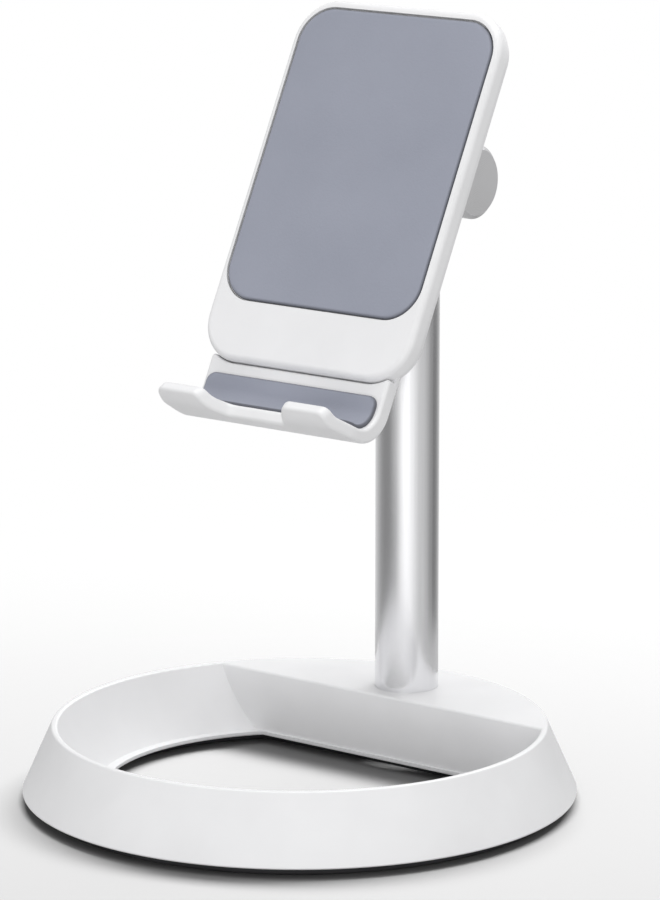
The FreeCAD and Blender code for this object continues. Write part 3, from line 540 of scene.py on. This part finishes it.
def add_floor():
    """A pale floor that turns into an evenly white backdrop away from the object."""
    mesh = bpy.data.meshes.new("floor")
    near, far = -FLOOR_REACH, FLOOR_REACH
    corners = [(near, near, 0), (far, near, 0), (far, far, 0), (near, far, 0)]
    mesh.from_pydata(corners, [], [(0, 1, 2, 3)])
    floor = bpy.data.objects.new("floor", mesh)
    bpy.context.collection.objects.link(floor)
    material = bpy.data.materials.new("floor")
    material.use_nodes = True
    nodes = material.node_tree.nodes
    links = material.node_tree.links
    place = nodes.new("ShaderNodeTexCoord")
    radius = nodes.new("ShaderNodeVectorMath")
    radius.operation = "LENGTH"
    links.new(place.outputs["Object"], radius.inputs[0])

    shader = nodes.new("ShaderNodeBsdfDiffuse")
    links.new(seen_or_other(material.node_tree, FLOOR_SEEN, FLOOR_OTHER), shader.inputs["Color"])
    glow = nodes.new("ShaderNodeEmission")
    strength = seen_or_other(material.node_tree, BACKDROP_SEEN, BACKDROP_OTHER)
    links.new(strength, glow.inputs["Strength"])
    fade = nodes.new("ShaderNodeMapRange")
    fade.interpolation_type = "SMOOTHSTEP"
    fade.inputs["From Min"].default_value = FADE_START
    fade.inputs["From Max"].default_value = FADE_END
    links.new(radius.outputs["Value"], fade.inputs["Value"])
    mix = nodes.new("ShaderNodeMixShader")
    links.new(fade.outputs["Result"], mix.inputs["Fac"])
    links.new(shader.outputs["BSDF"], mix.inputs[1])
    links.new(glow.outputs["Emission"], mix.inputs[2])
    links.new(mix.outputs["Shader"], nodes["Material Output"].inputs["Surface"])
    mesh.materials.append(material)
    return floor


def shine_only_on(lamp, receiver, blocker):
    """The lamp lights one thing alone, and only the blocker throws a shadow in its light."""
    receivers = bpy.data.collections.new(lamp.name + "_receivers")
    receivers.objects.link(receiver)
    lamp.light_linking.receiver_collection = receivers
    blockers = bpy.data.collections.new(lamp.name + "_blockers")
    blockers.objects.link(blocker)
    lamp.light_linking.blocker_collection = blockers


# The cards that the pole reflects, by angle in degrees from the camera's side, with soft edges
# between them: a white card in front, a dark flag on either hand and pale walls behind.
CARDS = [(-180, 0.8), (-80, 0.25), (-50, 0.25), (0, 1.1), (50, 0.6), (110, 0.2), (180, 0.8)]
# In metres.
SURROUND_RADIUS = 0.12
SURROUND_HEIGHT = 0.09
SURROUND_STEPS = 144


def card_shade(angle):
    """Brightness of the cards at an angle in degrees."""
    for (low, shade), (high, following) in zip(CARDS, CARDS[1:]):
        if angle <= high:
            soft = 0.5 - 0.5 * math.cos(math.pi * (angle - low) / (high - low))
            return shade + (following - shade) * soft
    return CARDS[-1][1]


def add_surround():
    """A low curved card round the pole that only reflections see."""
    low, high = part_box("pole_tube")
    centre = (low + high) / 2
    rim = []
    shades = []
    for angle in spread(-180, 180, SURROUND_STEPS):
        turned = math.radians(angle) + AZIMUTH
        rim.append((centre.x + SURROUND_RADIUS * math.sin(turned),
                    centre.y - SURROUND_RADIUS * math.cos(turned)))
        shades.append(card_shade(angle))
    mesh = bpy.data.meshes.new("surround")
    foot = [(x, y, 0) for x, y in rim]
    top = [(x, y, SURROUND_HEIGHT) for x, y in rim]
    above = len(rim)
    faces = [(n, n + 1, n + 1 + above, n + above) for n in range(SURROUND_STEPS)]
    mesh.from_pydata(foot + top, [], faces)
    shade = mesh.attributes.new("shade", "FLOAT", "POINT")
    shade.data.foreach_set("value", shades * 2)
    material = bpy.data.materials.new("surround")
    material.use_nodes = True
    nodes = material.node_tree.nodes
    links = material.node_tree.links
    glow = nodes.new("ShaderNodeEmission")
    given = nodes.new("ShaderNodeAttribute")
    given.attribute_name = "shade"
    links.new(given.outputs["Fac"], glow.inputs["Strength"])
    links.new(glow.outputs["Emission"], nodes["Material Output"].inputs["Surface"])
    mesh.materials.append(material)
    surround = bpy.data.objects.new("surround", mesh)
    bpy.context.collection.objects.link(surround)
    surround.visible_camera = False
    surround.visible_diffuse = False
    surround.visible_shadow = False
    surround.visible_transmission = False


def add_world():
    """An evenly lit studio that the camera sees as the white backdrop."""
    world = bpy.data.worlds.new("studio")
    bpy.context.scene.world = world
    world.use_nodes = True
    even = world.node_tree.nodes["Background"]
    even.inputs["Color"].default_value = (1, 1, 1, 1)
    strength = seen_or_other(world.node_tree, BACKDROP_SEEN, STUDIO_OTHER)
    world.node_tree.links.new(strength, even.inputs["Strength"])


add_camera()
add_world()
floor = add_floor()
add_surround()
add_light("top_softbox", (0.0, 0.0, 1.3), (0, 0, 0.05), 0.9, 0.9, 7.0)
add_light("rear_softbox", (-0.1, 0.9, 0.95), (0, 0, 0.03), 0.6, 0.6, 4.8)
floor_key = add_light("floor_key", (-0.25, 0.70, 1.14), (0, 0, 0), 1.5, 0.34, 104)
shine_only_on(floor_key, floor, frame["nodes"]["base_shell"])
add_light("right_softbox", (1.2, -0.2, 0.5), (0, 0, 0.05), 0.6, 0.6, 1.2)
add_light("front_softbox", (0.6, -1.1, 0.25), (0, 0, 0.05), 0.6, 0.4, 2.2)
low_fill = add_light("low_fill", (0.05, -0.5, 0.03), (0, 0, 0.04), 0.5, 0.05, 0.28)
low_fill.visible_camera = False
bpy.context.scene.view_settings.view_transform = "Standard"
